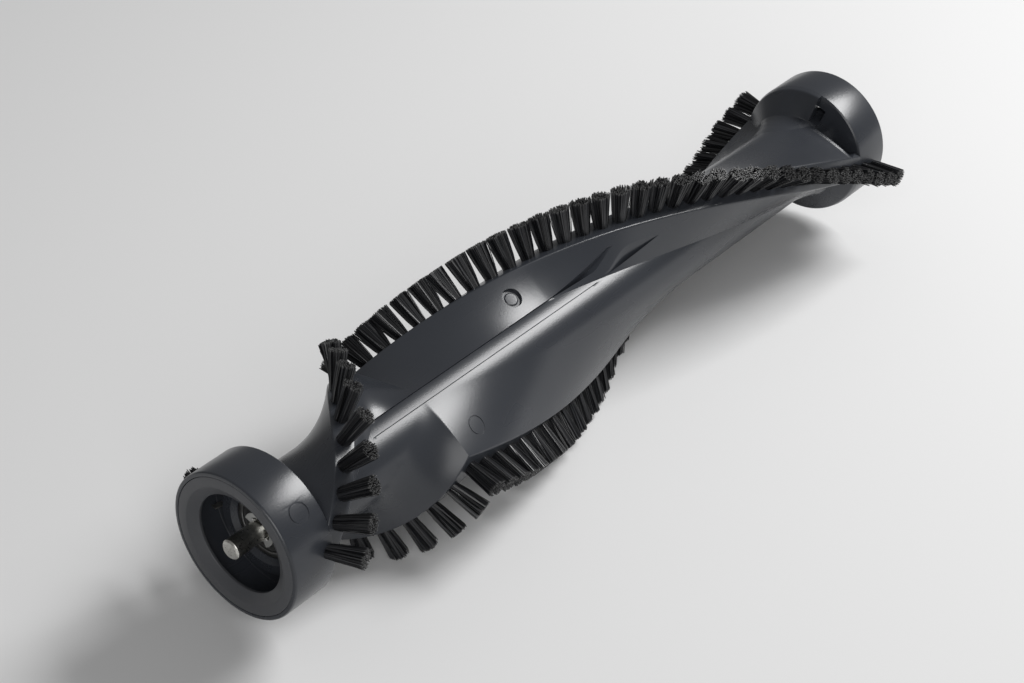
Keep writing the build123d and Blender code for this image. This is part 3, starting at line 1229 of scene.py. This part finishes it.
def make_tufts(row, arm, turn):
    """The tufts of one arm of a row, each a bundle of strands that fan out to their cut tips."""
    layout = arms[arm]
    random = np.random.RandomState(7 + len(arm) + int(turn))
    points, tones = [], []
    for index in range(layout["count"]):
        tuft, shades = tuft_strands(layout, index, turn, random)
        points += tuft
        tones += list(shades)
    size = strand_sides * levels
    faces = [face for base in range(0, len(points), size) for face in strand_faces(base)]
    obj = new_object("tuft_strands_" + row + "_" + arm, points, faces)
    along = np.tile(np.repeat(np.linspace(0, 1, levels), strand_sides), len(tones))
    for name, values in (("along", along), ("shade", np.repeat(tones, size))):
        layer = obj.data.attributes.new(name, "FLOAT", "POINT")
        layer.data.foreach_set("value", values.astype(np.float32))
    return obj


# Pieces on their bodies

finish_piece(make_roller_body(), "roll", charcoal, ["roller_body"])
finish_piece(make_end_ring("near_ring"), "roll", ring_plastic, ["end_ring_near"])
far_ring = make_end_ring("far_ring", True)
finish_piece(far_ring, "roll", ring_plastic, ["end_ring_far"])
outer_race, inner_race = make_races()
finish_piece(outer_race, "roll", race_steel, ["bearing_outer_race"])
finish_piece(inner_race, "axle", race_steel, ["bearing_inner_race"])
finish_piece(make_balls(), "ball_cage", ball_steel, ["bearing_balls"])
shield_front = make_shield("front_shield", bearing_front + shield_inset, 1)
finish_piece(shield_front, "roll", shield_steel, ["bearing_shield_front"])
shield_rear = make_shield("rear_shield", bearing_back - shield_inset, -1)
finish_piece(shield_rear, "roll", shield_steel, ["bearing_shield_rear"])
finish_piece(make_pin(), "axle", pin_steel, ["axle_pin"])
finish_piece(make_clip(), "axle", clip_steel, ["retaining_clip"])
finish_piece(make_washer(), "axle", washer_steel, ["thrust_washer"])
finish_piece(make_coupling(), "roll", drive_plastic, ["drive_coupling"])
for row, turn in zip("ab", turns):
    for arm in arms:
        node = "tufts_" + row + "_" + arm
        finish_piece(make_tufts(row, arm, turn), "roll", bristle, [node])

kept = {"bearing_cage": cage_steel}
for row in "ab":
    for arm in arms:
        kept["anchors_" + row + "_" + arm] = wire_steel
for node, finish in kept.items():
    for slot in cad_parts[node].material_slots:
        slot.material = finish


# Floor, light and camera

floor_size = 6.0
floor_mesh = bpy.data.meshes.new("floor")
corners = [(-floor_size, -floor_size, 0), (floor_size, -floor_size, 0)]
corners += [(floor_size, floor_size, 0), (-floor_size, floor_size, 0)]
floor_mesh.from_pydata(corners, [], [(0, 1, 2, 3)])
floor = bpy.data.objects.new("floor", floor_mesh)
bpy.context.scene.collection.objects.link(floor)
floor_finish, _, _, floor_shader = shader("floor", (0.74, 0.74, 0.74), 0.9)
floor_shader.inputs["Specular IOR Level"].default_value = 0.1
floor_mesh.materials.append(floor_finish)

world = bpy.data.worlds.new("studio")
world.use_nodes = True
world.node_tree.nodes["Background"].inputs["Color"].default_value = (0.9, 0.9, 0.9, 1)
world.node_tree.nodes["Background"].inputs["Strength"].default_value = 0.2
bpy.context.scene.world = world

target = Vector((0.0, 0.0, 0.025))


def softbox(name, direction, distance, size, power):
    """A rectangular soft light that faces the roll."""
    lamp = bpy.data.lights.new(name, "AREA")
    lamp.shape = "RECTANGLE"
    lamp.size, lamp.size_y = size
    lamp.energy = power
    obj = bpy.data.objects.new(name, lamp)
    bpy.context.scene.collection.objects.link(obj)
    way = Vector(direction).normalized()
    obj.location = target + way * distance
    obj.rotation_euler = (-way).to_track_quat("-Z", "Y").to_euler()


softbox("key", (0.635, -0.283, 0.717), 0.9, (0.42, 0.36), 8)
softbox("fill", (-0.7, -0.6, 0.5), 1.0, (0.6, 0.6), 3.5)

camera_data = bpy.data.cameras.new("camera")
camera_data.lens = 77.27
camera_data.sensor_width = 36
camera_data.clip_start = 0.01
camera = bpy.data.objects.new("camera", camera_data)
camera.location = (-0.3623, -0.2781, 0.3347)
camera.rotation_euler = (math.radians(55.23), 0, math.radians(-50.68))
bpy.context.scene.collection.objects.link(camera)
bpy.context.scene.camera = camera
bpy.context.scene.view_settings.view_transform = "Standard"
